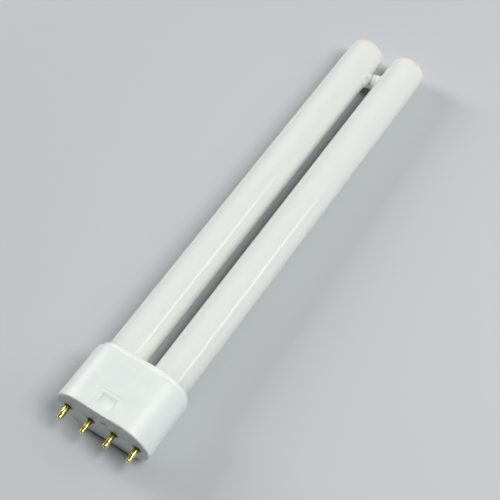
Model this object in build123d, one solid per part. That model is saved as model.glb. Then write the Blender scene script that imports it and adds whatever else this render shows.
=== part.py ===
"""Plug-in compact fluorescent tube with twin limbs and a four-pin in-line cap, lying on its broad face.

Sizes are in millimetres. Each piece is drawn upright, with the pin row along X, the limbs along +Z and
the centre of the pin face at the origin. It is then laid down, so that the limbs run along +Y and one
broad face looks up.
"""
import math
import os

from build123d import *

# Contact pins, two under each limb, all in one row
pin_pitch = 11.0
pin_diameter = 2.4
pin_reach = 6.2
pin_tip_round = 0.7
pin_seat_diameter = 2.8
pin_flange_diameter = 4.0
pin_flange_thickness = 0.8
pin_funnel = 0.5
crimp_from_tip = 1.65
crimp_wheel_radius = 2.4
crimp_width = 1.0
crimp_depth = 0.6

# Glass limbs, side by side with a gap between them, and the bridge that joins them
limb_diameter = 16.5
limb_gap = 4.7
limb_tip_height = 218.9
tip_knuckle_radius = 4.5
tip_crown_radius = 14.0
bridge_width = 5.8
bridge_height = 9.2
bridge_below_tip = 17.2
bridge_flare = 1.7

# Hidden lower ends of the limbs: a rounded foot, and the flat pinch that seals the glass
limb_foot_height = 15.0
foot_round = 4.0
pinch_width = 7.0
pinch_thickness = 3.0
pinch_length = 5.0
pinch_round = 0.8

# Moulded cap
socket_clearance = 0.35
socket_chamfer = 0.25
cap_end_wall = 2.7
cap_side_wall = 3.8
cap_draft_angle = 0.3
cap_foot_round = 0.7
shoulder_height = 26.0
shoulder_round = 1.1
collar_height = 2.0
collar_inset = 1.5
collar_round = 0.5
floor_thickness = 3.0
chamber_clearance = 0.5

# Latch channel and pocket in each broad face
channel_width = 10.6
channel_height = 9.8
channel_depth = 0.15
channel_corner = 0.6
pocket_width = 7.0
pocket_foot_height = 3.2
pocket_height = 5.2
pocket_depth = 0.8
pocket_floor_length = 2.0

# Pin face: a ring of clearance round each pin, and a small raised mould mark
pin_relief_clearance = 0.7
pin_relief_depth = 0.6
mark_length = 2.6
mark_width = 0.8
mark_height = 0.8
mark_offset_x = 1.6
mark_offset_y = -4.6

# Lead wires
wire_diameter = 0.6
wire_clearance = 0.1
wire_bend_radius = 1.2
wire_straight = 1.6
wire_spacing = 4.4
wire_nub = 0.35

# Capping cement
cement_length = 9.0
cement_below_rim = 0.5

# Places and sizes that follow from the values above
LYING = Rot(-90, 0, 0)
pair_middles = [-pin_pitch, pin_pitch]
pin_places = [middle + side * pin_pitch / 2 for middle in pair_middles for side in (-1, 1)]
limb_radius = limb_diameter / 2
limb_spacing = limb_diameter + limb_gap
limb_places = [-limb_spacing / 2, limb_spacing / 2]
socket_radius = limb_radius + socket_clearance
cap_width = limb_spacing + 2 * (socket_radius + cap_end_wall)
cap_depth = 2 * (socket_radius + cap_side_wall)
cap_draft = shoulder_height * math.tan(math.radians(cap_draft_angle))
rim_height = shoulder_height + collar_height
flange_top = floor_thickness + pin_flange_thickness
pinch_foot_height = limb_foot_height - pinch_length
wire_bore_radius = wire_diameter / 2 + wire_clearance


def limb():
    """One glass limb on the Z axis: pinch seal, rounded foot, straight wall and a flattened dome."""
    knuckle_x = limb_radius - tip_knuckle_radius
    rise = math.sqrt((tip_crown_radius - tip_knuckle_radius) ** 2 - knuckle_x**2)
    crown_z = limb_tip_height - tip_crown_radius
    knuckle_z = crown_z + rise
    blend_angle = math.degrees(math.atan2(rise, knuckle_x))
    foot_x = limb_radius - foot_round
    with BuildPart() as glass:
        with BuildSketch(Plane.YZ):
            with BuildLine():
                Line((0, limb_foot_height), (foot_x, limb_foot_height))
                CenterArc((foot_x, limb_foot_height + foot_round), foot_round, -90, 90)
                Line((limb_radius, limb_foot_height + foot_round), (limb_radius, knuckle_z))
                CenterArc((knuckle_x, knuckle_z), tip_knuckle_radius, 0, blend_angle)
                CenterArc((0, crown_z), tip_crown_radius, blend_angle, 90 - blend_angle)
                Line((0, limb_tip_height), (0, limb_foot_height))
            make_face()
        revolve(axis=Axis.Z)
        with BuildSketch(Plane.XY.offset(limb_foot_height)):
            RectangleRounded(pinch_width, pinch_thickness, pinch_round)
        extrude(amount=-pinch_length)
    return glass.part


def discharge_tube():
    """Both limbs and the bridge as one piece of glass, flared where the bridge is fused to the limbs."""
    one_limb = limb()
    bridge_z = limb_tip_height - bridge_below_tip
    bridge_section = Plane.YZ * Ellipse(bridge_height / 2, bridge_width / 2)
    bridge = Pos(0, 0, bridge_z) * extrude(bridge_section, limb_spacing / 2, both=True)
    tube = bridge + [Pos(x, 0, 0) * one_limb for x in limb_places]
    seams = [
        edge
        for edge in tube.edges()
        if edge.geom_type not in (GeomType.LINE, GeomType.CIRCLE)
        and abs(edge.center(CenterOf.BOUNDING_BOX).Z - bridge_z) < bridge_width / 2
    ]
    return fillet(seams, bridge_flare)


def cap_outline(inset, height):
    """The cap's rounded-oblong outline at a height, pulled in all round by an inset."""
    return Pos(0, 0, height) * SlotOverall(cap_width - 2 * inset, cap_depth - 2 * inset)


def upper_edges(shape):
    """The edges round the top face of a shape."""
    return shape.faces().sort_by(Axis.Z)[-1].outer_wire().edges()


def lower_edges(shape):
    """The edges round the bottom face of a shape."""
    return shape.faces().sort_by(Axis.Z)[0].outer_wire().edges()


def cap_body():
    """The outside of the cap: drafted body, rounded shoulder, and an inset collar round the limbs."""
    body = loft([cap_outline(0, 0), cap_outline(cap_draft, shoulder_height)])
    body = fillet(lower_edges(body), cap_foot_round)
    body = fillet(upper_edges(body), shoulder_round)
    collar_foot = cap_outline(cap_draft + collar_inset, shoulder_height - shoulder_round)
    collar = extrude(collar_foot, collar_height + shoulder_round)
    return body + fillet(upper_edges(collar), collar_round)


def latch_recess():
    """The recess for a holder's spring, as a cutter: a shallow channel, and a pocket that curves out."""
    face_y = -cap_depth / 2
    channel_shape = Pos(0, channel_height / 2 - channel_corner) * RectangleRounded(
        channel_width, channel_height + 2 * channel_corner, channel_corner
    )
    channel = Pos(0, face_y + channel_depth, 0) * extrude(Plane.XZ * channel_shape, cap_side_wall)
    pocket_top = pocket_foot_height + pocket_height
    floor_end = (face_y + pocket_depth, pocket_foot_height + pocket_floor_length)
    scoop_end = (face_y + channel_depth, pocket_top)
    with BuildPart() as pocket:
        with BuildSketch(Plane.YZ):
            with BuildLine():
                Polyline(
                    scoop_end,
                    (face_y, pocket_top),
                    (face_y, pocket_foot_height),
                    (face_y + pocket_depth, pocket_foot_height),
                    floor_end,
                )
                TangentArc(floor_end, scoop_end, tangent=(0, 1))
            make_face()
        extrude(amount=pocket_width / 2, both=True)
    return channel + pocket.part


def limb_well(limb_x, pair_middle):
    """The hollow for one limb, as a cutter: round socket, chamfered mouth, and a chamber for its wires."""
    depth = rim_height - limb_foot_height
    socket = Pos(limb_x, 0, limb_foot_height + depth / 2) * Cylinder(socket_radius, depth)
    mouth = Cone(socket_radius, socket_radius + socket_chamfer, socket_chamfer)
    mouth = Pos(limb_x, 0, rim_height - socket_chamfer / 2) * mouth
    chamber_depth = pin_flange_diameter + 2 * chamber_clearance
    chamber_shape = SlotOverall(pin_pitch + chamber_depth, chamber_depth)
    chamber_shape = Pos(pair_middle, 0, floor_thickness) * chamber_shape
    chamber = extrude(chamber_shape, limb_foot_height - floor_thickness)
    return socket + mouth + chamber


def pin_hole(pin_x):
    """The hole for one pin, as a cutter: a close bore, wider where the pin leaves the face."""
    bore = Pos(pin_x, 0, floor_thickness / 2) * Cylinder(pin_seat_diameter / 2, floor_thickness)
    relief_radius = pin_seat_diameter / 2 + pin_relief_clearance
    return bore + Pos(pin_x, 0, pin_relief_depth / 2) * Cylinder(relief_radius, pin_relief_depth)


def base_cap():
    """The one-piece moulded cap, with its wells, pin holes, latch recesses and mould mark."""
    recess = latch_recess()
    mark = Pos(mark_offset_x, mark_offset_y, 0) * SlotOverall(mark_length, mark_width)
    cap = cap_body() - recess - recess.rotate(Axis.Z, 180) + extrude(mark, -mark_height)
    for limb_x, pair_middle in zip(limb_places, pair_middles):
        cap -= limb_well(limb_x, pair_middle)
    for pin_x in pin_places:
        cap -= pin_hole(pin_x)
    return cap


def contact_pin():
    """One hollow pin on the Z axis: seat and flange in the cap, rounded tip, wire bore and crimp dimple."""
    radius = pin_diameter / 2
    shank_length = pin_reach + flange_top
    shank = Pos(0, 0, flange_top - shank_length / 2) * Cylinder(radius, shank_length)
    shank = fillet(lower_edges(shank), pin_tip_round)
    seat_length = floor_thickness - pin_relief_depth
    seat = Pos(0, 0, floor_thickness - seat_length / 2) * Cylinder(pin_seat_diameter / 2, seat_length)
    flange = Cylinder(pin_flange_diameter / 2, pin_flange_thickness)
    pin = shank + seat + Pos(0, 0, floor_thickness + pin_flange_thickness / 2) * flange
    pin -= Pos(0, 0, flange_top - shank_length / 2) * Cylinder(wire_bore_radius, shank_length)
    funnel = Cone(wire_bore_radius, wire_bore_radius + pin_funnel, pin_funnel)
    pin -= Pos(0, 0, flange_top - pin_funnel / 2) * funnel
    wheel_place = Pos(0, crimp_depth - radius - crimp_wheel_radius, crimp_from_tip - pin_reach)
    wheel_rim = Torus(crimp_wheel_radius - crimp_width / 2, crimp_width / 2)
    return pin - wheel_place * Rot(0, 90, 0) * wheel_rim


def lead_wire(limb_x, pin_x):
    """One wire from a limb's seal, across the chamber, and down the bore of its pin to a nub at the tip."""
    seal_x = limb_x + math.copysign(wire_spacing / 2, pin_x - limb_x)
    route = FilletPolyline(
        (seal_x, 0, pinch_foot_height),
        (seal_x, 0, pinch_foot_height - wire_straight),
        (pin_x, 0, flange_top + wire_straight),
        (pin_x, 0, -pin_reach - wire_nub),
        radius=wire_bend_radius,
    )
    section = Plane(origin=route @ 0, z_dir=route % 0) * Circle(wire_diameter / 2)
    return sweep(section, path=route)


def cement_ring(limb_x):
    """The ring of cement that fills the clearance between a limb and its socket."""
    middle = rim_height - cement_below_rim - cement_length / 2
    ring = Cylinder(socket_radius, cement_length) - Cylinder(limb_radius, cement_length)
    return Pos(limb_x, 0, middle) * ring


def sub_parts():
    """Every piece by name, upright."""
    pieces = {"discharge_tube": discharge_tube(), "base_cap": base_cap()}
    pin = contact_pin()
    for number, pin_x in enumerate(pin_places, start=1):
        limb_x = limb_places[0] if pin_x < 0 else limb_places[1]
        pieces[f"contact_pin_{number}"] = Pos(pin_x, 0, 0) * pin
        pieces[f"lead_wire_{number}"] = lead_wire(limb_x, pin_x)
    for number, limb_x in enumerate(limb_places, start=1):
        pieces[f"cement_ring_{number}"] = cement_ring(limb_x)
    return pieces


os.makedirs("parts", exist_ok=True)
for node, shape in sub_parts().items():
    export_step(LYING * shape, f"parts/{node}.step")
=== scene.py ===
"""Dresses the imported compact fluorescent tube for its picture: finishes, floor, studio light and camera.

Lengths are in metres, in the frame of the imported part: the pin row along X, the limbs along +Y and one
broad face of the cap up, with the middle of the pin face at the origin.
"""
import math

import bmesh
import bpy
from mathutils import Matrix, Vector


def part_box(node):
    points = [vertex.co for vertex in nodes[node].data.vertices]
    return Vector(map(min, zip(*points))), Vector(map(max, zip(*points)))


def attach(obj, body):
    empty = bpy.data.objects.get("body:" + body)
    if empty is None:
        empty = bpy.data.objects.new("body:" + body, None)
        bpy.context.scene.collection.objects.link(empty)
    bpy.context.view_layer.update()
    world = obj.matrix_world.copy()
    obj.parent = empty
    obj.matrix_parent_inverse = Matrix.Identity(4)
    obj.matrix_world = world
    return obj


MM = 0.001


def tone(red, green, blue):
    """A colour given as it shows on screen, 0 to 255, as the linear colour that a shader takes."""
    shares = [value / 255 for value in (red, green, blue)]
    linear = [s / 12.92 if s <= 0.04045 else ((s + 0.055) / 1.055) ** 2.4 for s in shares]
    return (*linear, 1.0)


# Camera
CAMERA_PLACE = Vector((167.68, -119.57, 415.77)) * MM
CAMERA_AIM = Vector((3.2, 96.65, 0.0)) * MM
CAMERA_ROLL = math.radians(-4.418)
SENSOR_WIDTH = 36.0
LENS = 86.487
NEAR_CLIP = 0.01

# Studio light: a dim dome with one broad lobe behind the tips, a soft box on each side, and a strip lamp
DOME_BASE = 0.02
LOBE_RISE = math.radians(45.0)
LOBE_EDGE = math.cos(math.radians(60.0))
LOBE_STRENGTH = 0.48
BOX_AIM = Vector((0.0, 0.16, 0.0))
BOX_REACH = 1.2
BOX_SIZE = (0.35, 0.55)
RIGHT_BOX_RISE = math.radians(57.0)
RIGHT_BOX_POWER = 9.5
LEFT_BOX_RISE = math.radians(28.0)
LEFT_BOX_POWER = 7.6
STRIP_PLACE = Vector((0.57, 0.33, 0.38))
STRIP_AIM = Vector((0.0, 0.33, 0.0))
STRIP_ALONG = Vector((-0.105, 1.0, 0.155))
STRIP_SIZE = (0.16, 0.36)
STRIP_POWER = 0.66

# Floor, and the rounds that find what the lamp rests on
FLOOR_SIDE = 8.0
FLOOR_ROUGHNESS = 0.9
FLOOR_SHEEN = 0.1
REST_ROUNDS = 4

# Coated glass: the spread of light in it, the peach band round each tip, painted light that lightens the
# bridge and the limbs' facing sides, and a tan at the bridge's far edge
GLOW_WEIGHT = 0.8
GLOW_DEPTH = 15.0 * MM
GLOW_SPREAD = (1.0, 1.0, 1.0)
PEACH_START = 6.0 * MM
PEACH_FULL = 3.2 * MM
PEACH_SHARE = 0.65
PEACH_FADE = 1.3 * MM
PEACH_LEFT = 0.15
BRIDGE_LIGHT_REACH = (6.5 * MM, 3.5 * MM)
BRIDGE_LIGHT_SHARE = 1.0
TAN_REACH = (4.0 * MM, 1.5 * MM)
TAN_SHARE = 1.0

# Bridge between the limbs, and its seam, whose lumps each have a share, a count and a start
BRIDGE_BELOW_TIP = 17.2 * MM
BRIDGE_WIDTH = 5.8 * MM
BRIDGE_HEIGHT = 9.2 * MM
SEAM_RADIUS = 0.35 * MM
SEAM_PROUD = 0.06 * MM
SEAM_LUMPS = ((0.5, 5, 0.7), (0.3, 11, 0.0), (0.2, 23, 0.0))
SEAM_UNEVENNESS = 0.35
SEAM_WANDER = 0.25 * MM
SEAM_BENDS = 3
SEAM_BEND_START = 1.1
SEAM_STEPS = 96
SEAM_SIDES = 12

# Contact pins, the painted shade at their roots and in their crimp dimples, and the rolled rim round each
# crimp dimple
PIN_PITCH = 11.0 * MM
PIN_RADIUS = 1.2 * MM
PIN_TIP_ROUND = 0.7 * MM
PIN_ROOT_SHADE = 3.0 * MM
PIN_ROOT_SHARE = 0.95
CRIMP_FROM_TIP = 1.75 * MM
CRIMP_LENGTH = 3.0 * MM
CRIMP_WIDTH = 1.05 * MM
DIMPLE_SHADE_EDGE = (1.15, 0.85)
DIMPLE_SHADE_SHARE = 0.95
DIMPLE_SHADE_ROUGHNESS = 0.5
RIM_RADIUS = 0.13 * MM
RIM_SINK = 0.07 * MM
RIM_STEPS = 64
RIM_SIDES = 10

# Colours
LIMB_WHITE = tone(231, 233, 227)
LIMB_CLOUD = tone(227, 230, 225)
TIP_PEACH = tone(246, 222, 203)
# Painted light: a lighter colour that lifts the shaded bridge and the limbs' facing sides
BRIDGE_PAINTED_LIGHT = tone(252, 252, 246)
BRIDGE_TAN = tone(208, 198, 170)
CAP_WHITE = tone(233, 239, 235)
CAP_CLOUD = tone(228, 234, 231)
CAP_SHADE = tone(190, 202, 203)
BRASS_BRIGHT = tone(238, 229, 152)
BRASS_TARNISH = tone(208, 197, 112)
# Painted shade: a dull brown in the crimp dimples
BRASS_DIMPLE_SHADE = tone(122, 97, 26)
# Painted shade: darker brass at the pins' roots
BRASS_ROOT_SHADE = tone(108, 104, 44)
WIRE_BRIGHT = tone(205, 203, 198)
WIRE_DULL = tone(140, 136, 130)
CEMENT_PALE = tone(222, 220, 212)
CEMENT_DARK = tone(192, 188, 178)
FLOOR_GREY = tone(197, 201, 204)

# Places of the colour sockets on Blender's mix node
MIX_UNDER = 6
MIX_OVER = 7
MIX_RESULT = 2

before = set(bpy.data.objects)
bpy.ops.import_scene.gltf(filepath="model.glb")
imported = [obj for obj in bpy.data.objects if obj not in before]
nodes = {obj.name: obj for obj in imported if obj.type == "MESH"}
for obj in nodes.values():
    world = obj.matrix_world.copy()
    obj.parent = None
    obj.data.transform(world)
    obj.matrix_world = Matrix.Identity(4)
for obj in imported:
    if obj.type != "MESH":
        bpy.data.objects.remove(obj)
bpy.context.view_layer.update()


def new_tree(name, inputs, outputs):
    """An empty shader node group with its named sockets, and its input and output nodes."""
    group = bpy.data.node_groups.new(name, "ShaderNodeTree")
    for label, kind, value in inputs:
        socket = group.interface.new_socket(label, in_out="INPUT", socket_type=kind)
        socket.default_value = value
    for label, kind in outputs:
        group.interface.new_socket(label, in_out="OUTPUT", socket_type=kind)
    return group, group.nodes.new("NodeGroupInput"), group.nodes.new("NodeGroupOutput")


def put(tree, kind, values=(), **settings):
    """A node in a tree, with its settings and the values of its named input sockets."""
    node = tree.nodes.new(kind)
    for name, value in settings.items():
        setattr(node, name, value)
    for name, value in dict(values).items():
        node.inputs[name].default_value = value
    return node


def join(tree, start, end):
    """A link from an output socket to an input socket."""
    tree.links.new(start, end)


def ramp(tree, value, low, high, to_low=0.0, to_high=1.0):
    """A smooth step of a value between two levels. Gives its output socket."""
    node = put(tree, "ShaderNodeMapRange", interpolation_type="SMOOTHSTEP")
    node.inputs["From Min"].default_value = low
    node.inputs["From Max"].default_value = high
    node.inputs["To Min"].default_value = to_low
    node.inputs["To Max"].default_value = to_high
    join(tree, value, node.inputs["Value"])
    return node.outputs["Result"]


def arithmetic(tree, operation, first, second):
    """One arithmetic step on two sockets, or on a socket and a number. Gives its output socket."""
    node = put(tree, "ShaderNodeMath", operation=operation)
    for socket, value in zip(node.inputs, (first, second)):
        if isinstance(value, (int, float)):
            socket.default_value = value
        else:
            join(tree, value, socket)
    return node.outputs["Value"]


def tint(tree, share, under, over):
    """A colour laid over another by a share. Each is a socket or a colour. Gives its output socket."""
    node = put(tree, "ShaderNodeMix", data_type="RGBA")
    join(tree, share, node.inputs["Factor"])
    for socket, colour in ((node.inputs[MIX_UNDER], under), (node.inputs[MIX_OVER], over)):
        if isinstance(colour, tuple):
            socket.default_value = colour
        else:
            join(tree, colour, socket)
    return node.outputs[MIX_RESULT]


def place_in_frame(tree):
    """The place of a surface point in the shared frame. Gives its socket and the node of its parts."""
    place = put(tree, "ShaderNodeTexCoord").outputs["Object"]
    axes = put(tree, "ShaderNodeSeparateXYZ")
    join(tree, place, axes.inputs["Vector"])
    return place, axes


def stretched_noise(tree, given, detail, roughness):
    """Noise of a group's own scale, drawn out by its own stretch. Gives its output socket."""
    stretch = put(tree, "ShaderNodeVectorMath", operation="MULTIPLY")
    join(tree, put(tree, "ShaderNodeTexCoord").outputs["Object"], stretch.inputs[0])
    join(tree, given.outputs["Stretch"], stretch.inputs[1])
    noise = put(tree, "ShaderNodeTexNoise", {"Detail": detail, "Roughness": roughness})
    join(tree, stretch.outputs["Vector"], noise.inputs["Vector"])
    join(tree, given.outputs["Scale"], noise.inputs["Scale"])
    return noise.outputs["Fac"]


# Shared effects


def clouding_group():
    """Soft clouds, drawn out along the limbs, that mix two near colours."""
    tree, given, made = new_tree(
        "Clouding",
        [
            ("Clear", "NodeSocketColor", (0.8, 0.8, 0.8, 1.0)),
            ("Cloudy", "NodeSocketColor", (0.7, 0.7, 0.7, 1.0)),
            ("Scale", "NodeSocketFloat", 60.0),
            ("Stretch", "NodeSocketVector", (1.0, 1.0, 1.0)),
        ],
        [("Color", "NodeSocketColor")],
    )
    noise = stretched_noise(tree, given, detail=4.0, roughness=0.55)
    cloud = ramp(tree, noise, low=0.35, high=0.68)
    join(tree, tint(tree, cloud, given.outputs["Clear"], given.outputs["Cloudy"]), made.inputs["Color"])
    return tree


def grain_group():
    """Fine surface grain: a height for bumps, and a roughness that wavers in broader patches."""
    tree, given, made = new_tree(
        "Fine grain",
        [
            ("Scale", "NodeSocketFloat", 4000.0),
            ("Stretch", "NodeSocketVector", (1.0, 1.0, 1.0)),
            ("Smooth", "NodeSocketFloat", 0.3),
            ("Rough", "NodeSocketFloat", 0.5),
        ],
        [("Height", "NodeSocketFloat"), ("Roughness", "NodeSocketFloat")],
    )
    join(tree, stretched_noise(tree, given, detail=3.0, roughness=0.6), made.inputs["Height"])
    patches = put(tree, "ShaderNodeTexNoise", {"Scale": 140.0, "Detail": 3.0})
    join(tree, put(tree, "ShaderNodeTexCoord").outputs["Object"], patches.inputs["Vector"])
    spread = put(tree, "ShaderNodeMapRange")
    join(tree, patches.outputs["Fac"], spread.inputs["Value"])
    join(tree, given.outputs["Smooth"], spread.inputs["To Min"])
    join(tree, given.outputs["Rough"], spread.inputs["To Max"])
    join(tree, spread.outputs["Result"], made.inputs["Roughness"])
    return tree


def crevice_shade_group():
    """A mask for painted shade that grows in corners, grooves and holes of the piece itself."""
    tree, given, made = new_tree(
        "Crevice shade",
        [("Reach", "NodeSocketFloat", 0.002), ("Strength", "NodeSocketFloat", 1.0)],
        [("Mask", "NodeSocketFloat")],
    )
    open_share = put(tree, "ShaderNodeAmbientOcclusion", samples=8, only_local=True)
    join(tree, given.outputs["Reach"], open_share.inputs["Distance"])
    closed = arithmetic(tree, "SUBTRACT", 1.0, open_share.outputs["AO"])
    mask = ramp(tree, closed, low=0.1, high=0.8)
    join(tree, arithmetic(tree, "MULTIPLY", mask, given.outputs["Strength"]), made.inputs["Mask"])
    return tree


CLOUDING = clouding_group()
GRAIN = grain_group()
CREVICE_SHADE = crevice_shade_group()


# Finishes


def new_finish(name):
    """A material with only a Principled shader. Gives the material, its tree and that shader."""
    finish = bpy.data.materials.new(name)
    finish.use_nodes = True
    shader = finish.node_tree.nodes["Principled BSDF"]
    return finish, finish.node_tree, shader


def effect(tree, group, values):
    """A shared effect in a material, with its own values."""
    return put(tree, "ShaderNodeGroup", values, node_tree=group)


def bump(tree, shader, height, depth, strength):
    """Bumps from a height of 0 to 1 that is so deep, on a shader's normal."""
    node = put(tree, "ShaderNodeBump", {"Strength": strength, "Distance": depth})
    join(tree, height, node.inputs["Height"])
    join(tree, node.outputs["Normal"], shader.inputs["Normal"])


def nearness(tree, place, spot, far, near, share):
    """A mask that grows from nothing at one distance from a spot to a share at a nearer one."""
    gap = put(tree, "ShaderNodeVectorMath", operation="DISTANCE")
    gap.inputs[1].default_value = spot
    join(tree, place, gap.inputs[0])
    return ramp(tree, gap.outputs["Value"], far, near, 0.0, share)


def coated_glass():
    """Clear glass over a milky white powder, which is thinner at the tips, with painted light that
    lightens the bridge and the limbs' sides next to it.
    """
    finish, tree, shader = new_finish("coated_glass")
    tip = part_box("discharge_tube")[1].y
    powder = effect(
        tree,
        CLOUDING,
        {"Clear": LIMB_WHITE, "Cloudy": LIMB_CLOUD, "Scale": 90.0, "Stretch": (1.0, 0.12, 1.0)},
    )
    place, axes = place_in_frame(tree)
    near_tip = ramp(tree, axes.outputs["Y"], tip - PEACH_START, tip - PEACH_FULL, 0.0, PEACH_SHARE)
    off_middle = ramp(tree, axes.outputs["Y"], tip - PEACH_FADE, tip, 1.0, PEACH_LEFT)
    at_tip = arithmetic(tree, "MULTIPLY", near_tip, off_middle)
    colour = tint(tree, at_tip, powder.outputs["Color"], TIP_PEACH)
    middle_y = tip - BRIDGE_BELOW_TIP
    # Painted light: the colour turns lighter near the middle of the bridge, where it and the limbs' facing
    # sides lie in shade.
    bridge_painted_light = nearness(tree, place, (0.0, middle_y, 0.0), *BRIDGE_LIGHT_REACH, BRIDGE_LIGHT_SHARE)
    colour = tint(tree, bridge_painted_light, colour, BRIDGE_PAINTED_LIGHT)
    far_edge = (0.0, middle_y + BRIDGE_WIDTH / 2, BRIDGE_HEIGHT / 2)
    at_far_edge = nearness(tree, place, far_edge, *TAN_REACH, TAN_SHARE)
    join(tree, tint(tree, at_far_edge, colour, BRIDGE_TAN), shader.inputs["Base Color"])
    shader.inputs["Subsurface Weight"].default_value = GLOW_WEIGHT
    shader.inputs["Subsurface Radius"].default_value = GLOW_SPREAD
    shader.inputs["Subsurface Scale"].default_value = GLOW_DEPTH
    surface = effect(
        tree, GRAIN, {"Scale": 500.0, "Stretch": (1.0, 0.05, 1.0), "Smooth": 0.09, "Rough": 0.17}
    )
    join(tree, surface.outputs["Roughness"], shader.inputs["Roughness"])
    bump(tree, shader, surface.outputs["Height"], depth=0.01 * MM, strength=0.1)
    return finish


def cap_plastic():
    """Satin white moulded plastic, with painted shade making it a little darker in its recesses."""
    finish, tree, shader = new_finish("cap_plastic")
    resin = effect(
        tree,
        CLOUDING,
        {"Clear": CAP_WHITE, "Cloudy": CAP_CLOUD, "Scale": 110.0, "Stretch": (1.0, 1.0, 1.0)},
    )
    # Painted shade: a cooler, darker colour in the cap's recesses.
    crevice_shade = effect(tree, CREVICE_SHADE, {"Reach": 1.0 * MM, "Strength": 0.15})
    colour = tint(tree, crevice_shade.outputs["Mask"], resin.outputs["Color"], CAP_SHADE)
    join(tree, colour, shader.inputs["Base Color"])
    surface = effect(tree, GRAIN, {"Scale": 5000.0, "Smooth": 0.34, "Rough": 0.46})
    join(tree, surface.outputs["Roughness"], shader.inputs["Roughness"])
    bump(tree, shader, surface.outputs["Height"], depth=0.02 * MM, strength=0.5)
    return finish


def dimple_shade_mask(tree, axes):
    """A mask of painted shade in the crimp dimples: an oval on the upper side of each pin in the row."""
    middle_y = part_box("contact_pin_1")[0].y + CRIMP_FROM_TIP
    from_gap = arithmetic(tree, "PINGPONG", axes.outputs["X"], PIN_PITCH / 2)
    across = arithmetic(tree, "SUBTRACT", PIN_PITCH / 2, from_gap)
    along = arithmetic(tree, "SUBTRACT", axes.outputs["Y"], middle_y)
    oval = put(tree, "ShaderNodeCombineXYZ")
    join(tree, arithmetic(tree, "DIVIDE", across, CRIMP_WIDTH / 2), oval.inputs["X"])
    join(tree, arithmetic(tree, "DIVIDE", along, CRIMP_LENGTH / 2), oval.inputs["Y"])
    reach = put(tree, "ShaderNodeVectorMath", operation="LENGTH")
    join(tree, oval.outputs["Vector"], reach.inputs[0])
    inside = ramp(tree, reach.outputs["Value"], *DIMPLE_SHADE_EDGE, 0.0, DIMPLE_SHADE_SHARE)
    upper = ramp(tree, axes.outputs["Z"], 0.0, PIN_RADIUS / 4)
    return arithmetic(tree, "MULTIPLY", inside, upper)


def pin_brass():
    """Drawn brass, bright where contacts rub it, with painted shade in its dimple and at its root."""
    finish, tree, shader = new_finish("pin_brass")
    axes = place_in_frame(tree)[1]
    # Painted shade: darker brass towards the root, next to the cap's pin face.
    root_shade = ramp(tree, axes.outputs["Y"], -PIN_ROOT_SHADE, 0.0, 0.0, PIN_ROOT_SHARE)
    metal = effect(
        tree,
        CLOUDING,
        {"Clear": BRASS_BRIGHT, "Cloudy": BRASS_TARNISH, "Scale": 420.0, "Stretch": (1.0, 1.6, 1.0)},
    )
    # Painted shade: the dimple turns a dull, non-metal brown, standing in for the dark that it reflects.
    dimple_shade = dimple_shade_mask(tree, axes)
    colour = tint(tree, dimple_shade, metal.outputs["Color"], BRASS_DIMPLE_SHADE)
    join(tree, tint(tree, root_shade, colour, BRASS_ROOT_SHADE), shader.inputs["Base Color"])
    join(tree, arithmetic(tree, "SUBTRACT", 1.0, dimple_shade), shader.inputs["Metallic"])
    surface = effect(
        tree, GRAIN, {"Scale": 2500.0, "Stretch": (0.2, 3.0, 0.2), "Smooth": 0.18, "Rough": 0.3}
    )
    dull = arithmetic(tree, "MULTIPLY", dimple_shade, DIMPLE_SHADE_ROUGHNESS)
    roughness = arithmetic(tree, "MAXIMUM", surface.outputs["Roughness"], dull)
    join(tree, roughness, shader.inputs["Roughness"])
    bump(tree, shader, surface.outputs["Height"], depth=0.01 * MM, strength=0.2)
    return finish


def lead_wire_steel():
    """Plain drawn wire with a dull skin."""
    finish, tree, shader = new_finish("lead_wire_steel")
    metal = effect(
        tree,
        CLOUDING,
        {"Clear": WIRE_BRIGHT, "Cloudy": WIRE_DULL, "Scale": 900.0, "Stretch": (1.0, 0.4, 1.0)},
    )
    join(tree, metal.outputs["Color"], shader.inputs["Base Color"])
    shader.inputs["Metallic"].default_value = 1.0
    surface = effect(
        tree, GRAIN, {"Scale": 3000.0, "Stretch": (1.0, 0.1, 1.0), "Smooth": 0.3, "Rough": 0.5}
    )
    join(tree, surface.outputs["Roughness"], shader.inputs["Roughness"])
    bump(tree, shader, surface.outputs["Height"], depth=0.02 * MM, strength=0.5)
    return finish


def capping_cement():
    """Matt set cement with a sandy grain."""
    finish, tree, shader = new_finish("capping_cement")
    paste = effect(
        tree,
        CLOUDING,
        {"Clear": CEMENT_PALE, "Cloudy": CEMENT_DARK, "Scale": 500.0, "Stretch": (1.0, 1.0, 1.0)},
    )
    join(tree, paste.outputs["Color"], shader.inputs["Base Color"])
    surface = effect(tree, GRAIN, {"Scale": 3500.0, "Smooth": 0.8, "Rough": 0.95})
    join(tree, surface.outputs["Roughness"], shader.inputs["Roughness"])
    bump(tree, shader, surface.outputs["Height"], depth=0.12 * MM, strength=1.0)
    return finish


def floor_paper():
    """Plain pale paper for the floor."""
    finish, _, shader = new_finish("floor_paper")
    shader.inputs["Base Color"].default_value = FLOOR_GREY
    shader.inputs["Roughness"].default_value = FLOOR_ROUGHNESS
    shader.inputs["Specular IOR Level"].default_value = FLOOR_SHEEN
    return finish


def dress(node_start, finish):
    """Gives a finish to every CAD node whose name starts so."""
    for name, node in nodes.items():
        if name.startswith(node_start):
            node.data.materials.clear()
            node.data.materials.append(finish)


# Pieces


def add_mesh(name, bm, finish):
    """A new smooth-shaded object from a bmesh, with its finish."""
    mesh = bpy.data.meshes.new(name)
    bmesh.ops.recalc_face_normals(bm, faces=bm.faces)
    bm.to_mesh(mesh)
    bm.free()
    for face in mesh.polygons:
        face.use_smooth = True
    mesh.materials.append(finish)
    piece = bpy.data.objects.new(name, mesh)
    bpy.context.scene.collection.objects.link(piece)
    return piece


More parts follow.
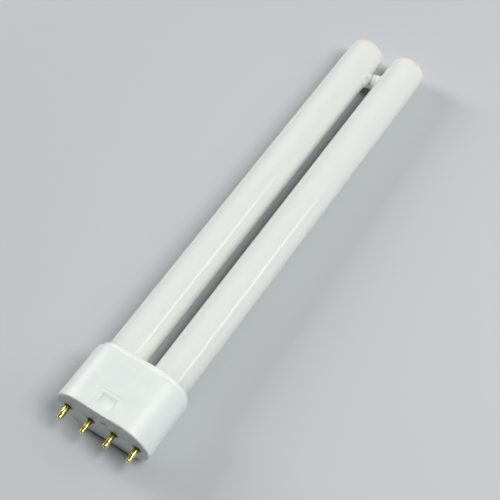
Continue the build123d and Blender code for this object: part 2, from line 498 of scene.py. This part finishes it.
def join_rings(bm, rings):
    """Faces between rings of points that follow one another round a closed loop."""
    for step, ring in enumerate(rings):
        following = rings[(step + 1) % len(rings)]
        for side in range(len(ring)):
            after = (side + 1) % len(ring)
            bm.faces.new((ring[side], ring[after], following[after], following[side]))


def bridge_seam(finish):
    """The uneven ring of glass round the middle of the bridge, where the two limbs were fused."""
    middle_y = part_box("discharge_tube")[1].y - BRIDGE_BELOW_TIP
    bm = bmesh.new()
    rings = []
    for step in range(SEAM_STEPS):
        around = math.tau * step / SEAM_STEPS
        lumps = sum(share * math.sin(count * around + start) for share, count, start in SEAM_LUMPS)
        width = SEAM_RADIUS * (1 + SEAM_UNEVENNESS * lumps)
        sink = SEAM_PROUD * (1 + lumps) - SEAM_RADIUS
        wander = SEAM_WANDER * math.sin(SEAM_BENDS * around + SEAM_BEND_START)
        ring = []
        for side in range(SEAM_SIDES):
            turn = math.tau * side / SEAM_SIDES
            out = sink + SEAM_RADIUS * math.cos(turn)
            along = (BRIDGE_WIDTH / 2 + out) * math.cos(around)
            height = (BRIDGE_HEIGHT / 2 + out) * math.sin(around)
            ring.append(bm.verts.new((wander + width * math.sin(turn), middle_y + along, height)))
        rings.append(ring)
    join_rings(bm, rings)
    return add_mesh("bridge_seam", bm, finish)


def crimp_rim(pin_name, finish):
    """The rolled rim of brass round the crimp dimple of one pin, following its rounded tip."""
    low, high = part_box(pin_name)
    pin_x = (low.x + high.x) / 2
    turns = [math.tau * side / RIM_SIDES for side in range(RIM_SIDES)]
    bm = bmesh.new()
    rings = []
    for step in range(RIM_STEPS):
        around = math.tau * step / RIM_STEPS
        across = CRIMP_WIDTH / 2 * math.sin(around)
        from_tip = CRIMP_FROM_TIP - CRIMP_LENGTH / 2 * math.cos(around)
        lean = max(0.0, 1 - from_tip / PIN_TIP_ROUND)
        upright = math.sqrt(1 - lean**2)
        radius = PIN_RADIUS - PIN_TIP_ROUND * (1 - upright)
        height = math.sqrt(radius**2 - across**2)
        out = Vector((across / radius * upright, -lean, height / radius * upright))
        middle = Vector((pin_x + across, low.y + from_tip, height)) - RIM_SINK * out
        outward = Vector((CRIMP_LENGTH * math.sin(around), -CRIMP_WIDTH * math.cos(around), 0.0))
        aside = (outward - outward.dot(out) * out).normalized()
        spokes = [math.cos(turn) * out + math.sin(turn) * aside for turn in turns]
        rings.append([bm.verts.new(middle + RIM_RADIUS * spoke) for spoke in spokes])
    join_rings(bm, rings)
    return add_mesh(pin_name.replace("contact_pin", "crimp_rim"), bm, finish)


# Stage


def node_points(name):
    """The points of a CAD node's mesh, in the shared frame."""
    node = nodes[name]
    return [node.matrix_world @ vertex.co for vertex in node.data.vertices]


def add_floor():
    """The floor, tilted as the lamp leans when it lies on the cap's shoulder and the limbs' tips."""
    cap_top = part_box("base_cap")[1].y
    cap_points = node_points("base_cap")
    limb_points = [point for point in node_points("discharge_tube") if point.y > cap_top]
    slope = 0.0
    for _ in range(REST_ROUNDS):
        foot = min(cap_points, key=lambda point: point.z - slope * point.y)
        slope = min((point.z - foot.z) / (point.y - foot.y) for point in limb_points)
    bm = bmesh.new()
    bmesh.ops.create_grid(bm, x_segments=1, y_segments=1, size=FLOOR_SIDE / 2)
    floor = add_mesh("floor", bm, floor_paper())
    tilt = Matrix.Rotation(math.atan(slope), 4, "X")
    floor.matrix_world = Matrix.Translation((0.0, foot.y, foot.z)) @ tilt


def add_area_light(name, place, aim, along, size, power):
    """A soft rectangular lamp that points at a place, with its long side in a given direction."""
    light = bpy.data.lights.new(name, "AREA")
    light.shape = "RECTANGLE"
    light.size, light.size_y = size
    light.energy = power
    lamp = bpy.data.objects.new(name, light)
    back = (place - aim).normalized()
    across = along.cross(back).normalized()
    turn = Matrix((across, back.cross(across), back)).transposed().to_4x4()
    lamp.matrix_world = Matrix.Translation(place) @ turn
    bpy.context.scene.collection.objects.link(lamp)


def add_soft_boxes():
    """A soft lamp on either side of the limbs."""
    boxes = (
        ("right_box", 1, RIGHT_BOX_RISE, RIGHT_BOX_POWER),
        ("left_box", -1, LEFT_BOX_RISE, LEFT_BOX_POWER),
    )
    for name, side, rise, power in boxes:
        place = BOX_AIM + BOX_REACH * Vector((side * math.cos(rise), 0.0, math.sin(rise)))
        add_area_light(name, place, BOX_AIM, Vector((0.0, 0.0, 1.0)), BOX_SIZE, power)


def add_world():
    """A dim dome of light, with a broad lobe behind the tips that fades out at its edge."""
    world = bpy.data.worlds.new("surround")
    world.use_nodes = True
    tree = world.node_tree
    dome = tree.nodes["Background"]
    dome.inputs["Color"].default_value = (1.0, 1.0, 1.0, 1.0)
    place = put(tree, "ShaderNodeTexCoord")
    towards = put(tree, "ShaderNodeVectorMath", operation="DOT_PRODUCT")
    towards.inputs[1].default_value = (0.0, math.cos(LOBE_RISE), math.sin(LOBE_RISE))
    join(tree, place.outputs["Generated"], towards.inputs[0])
    level = ramp(tree, towards.outputs["Value"], LOBE_EDGE, 1.0, DOME_BASE, DOME_BASE + LOBE_STRENGTH)
    join(tree, level, dome.inputs["Strength"])
    bpy.context.scene.world = world


def add_camera():
    """The camera at the photograph's place, with its slight roll."""
    data = bpy.data.cameras.new("camera")
    data.sensor_width = SENSOR_WIDTH
    data.lens = LENS
    data.clip_start = NEAR_CLIP
    ahead = (CAMERA_AIM - CAMERA_PLACE).normalized()
    level_right = ahead.cross(Vector((0.0, 0.0, 1.0))).normalized()
    level_up = level_right.cross(ahead)
    right = math.cos(CAMERA_ROLL) * level_right + math.sin(CAMERA_ROLL) * level_up
    up = right.cross(ahead)
    turn = Matrix((right, up, -ahead)).transposed().to_4x4()
    camera = bpy.data.objects.new("camera", data)
    camera.matrix_world = Matrix.Translation(CAMERA_PLACE) @ turn
    bpy.context.scene.collection.objects.link(camera)
    bpy.context.scene.camera = camera


glass = coated_glass()
dress("discharge_tube", glass)
dress("base_cap", cap_plastic())
brass = pin_brass()
dress("contact_pin", brass)
dress("lead_wire", lead_wire_steel())
dress("cement_ring", capping_cement())

seam = bridge_seam(glass)
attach(seam, "root")
for pin_name in sorted(name for name in nodes if name.startswith("contact_pin")):
    rim = crimp_rim(pin_name, brass)
    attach(rim, "root")

add_floor()
add_soft_boxes()
add_area_light("strip", STRIP_PLACE, STRIP_AIM, STRIP_ALONG, STRIP_SIZE, STRIP_POWER)
add_world()
add_camera()
bpy.context.scene.view_settings.view_transform = "Standard"
